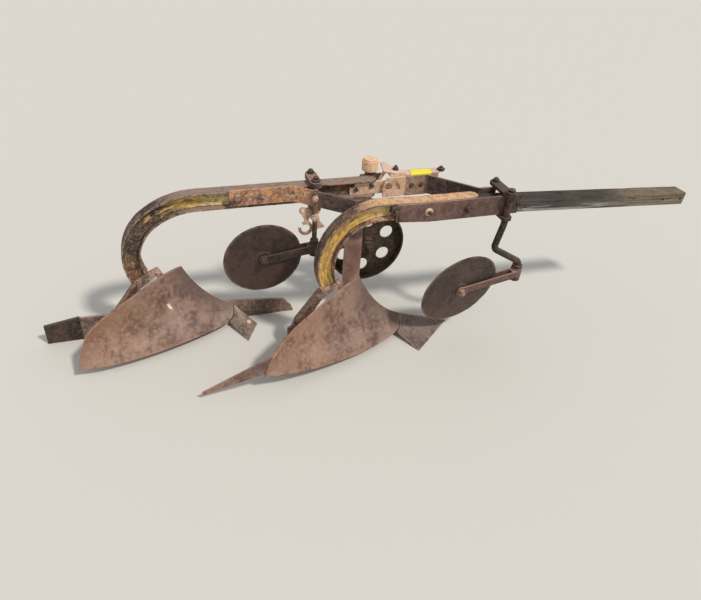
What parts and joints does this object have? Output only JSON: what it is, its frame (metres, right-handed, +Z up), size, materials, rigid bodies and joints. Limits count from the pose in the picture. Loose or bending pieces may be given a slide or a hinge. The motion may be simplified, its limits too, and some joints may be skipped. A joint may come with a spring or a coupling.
{
  "type": "two-furrow moldboard plough",
  "caption": "Rusty trailed two-furrow plough: I-section goosenecks, curved moldboards, land wheel, disc coulters and a timber pole.",
  "frame": {"origin": "on the sole of the front landside, at its middle plane, below the front beam", "axes": "+X is the line of travel, +Y points to the unploughed land, +Z up"},
  "size_m": [2.9941, 0.6693, 0.7503],
  "materials": {
    "beam_steel": "worn yellow paint over rust",
    "plate_rust": "brown rust",
    "pale_rust": "dusty pale rust",
    "board_rust": "even brown rust",
    "frog_iron": "rough cast rust",
    "disc_rust": "dark smooth rust",
    "wheel_iron": "olive brown rust",
    "timber": "weathered grey"
  },
  "bodies": {
    "frame": {"near_beam": "beam_steel", "far_beam": "beam_steel", "near_side_plate": "plate_rust", "rear_brace": "plate_rust", "front_brace": "plate_rust", "far_channel": "pale_rust", "channel_gusset": "pale_rust", "cross_bar": "pale_rust", "pole": "timber", "wheel_post": "plate_rust", "wheel_arm": "plate_rust", "lift_screw": "plate_rust", "front_frog": "frog_iron", "rear_frog": "frog_iron", "front_moldboard": "board_rust", "rear_moldboard": "board_rust", "front_share": "board_rust", "rear_share": "board_rust", "front_landside": "plate_rust", "rear_landside": "plate_rust", "rear_heel": "plate_rust", "tail_strip": "board_rust", "front_coulter_clamp": "plate_rust", "front_coulter_stem": "plate_rust", "rear_coulter_clamp": "plate_rust", "rear_coulter_stem": "plate_rust", "channel_splice": "pale_rust", "channel_cleat": "pale_rust", "screw_bracket": "plate_rust", "drag_hook": "pale_rust", "front_stay": "frog_iron", "rear_stay": "frog_iron"},
    "land_wheel": {"land_wheel": "wheel_iron"},
    "front_coulter_yoke": {"front_coulter_yoke": "plate_rust"},
    "front_coulter_disc": {"front_coulter_disc": "disc_rust"},
    "rear_coulter_yoke": {"rear_coulter_yoke": "plate_rust"},
    "rear_coulter_disc": {"rear_coulter_disc": "disc_rust"}
  },
  "joints": [
    {"name": "wheel_spin", "type": "hinge", "parent": "frame", "child": "land_wheel", "pos_m": [0.07, 0.339, 0.287], "axis": [0, 1, 0], "continuous": true},
    {"name": "front_coulter_swivel", "type": "hinge", "parent": "frame", "child": "front_coulter_yoke", "pos_m": [0.68, -0.0798, 0.33], "axis": [0, 0, 1], "range_deg": [-20, 20]},
    {"name": "front_disc_spin", "type": "hinge", "parent": "front_coulter_yoke", "child": "front_coulter_disc", "pos_m": [0.36571, -0.12118, 0.272], "axis": [-0.1283, 0.9748, 0.1822], "continuous": true},
    {"name": "rear_coulter_swivel", "type": "hinge", "parent": "frame", "child": "rear_coulter_yoke", "pos_m": [-0.234, 0.1882, 0.42], "axis": [0, 0, 1], "range_deg": [-20, 15]},
    {"name": "rear_disc_spin", "type": "hinge", "parent": "rear_coulter_yoke", "child": "rear_coulter_disc", "pos_m": [-0.46878, 0.17795, 0.362], "axis": [-0.0435, 0.9952, 0.0872], "continuous": true}
  ]
}
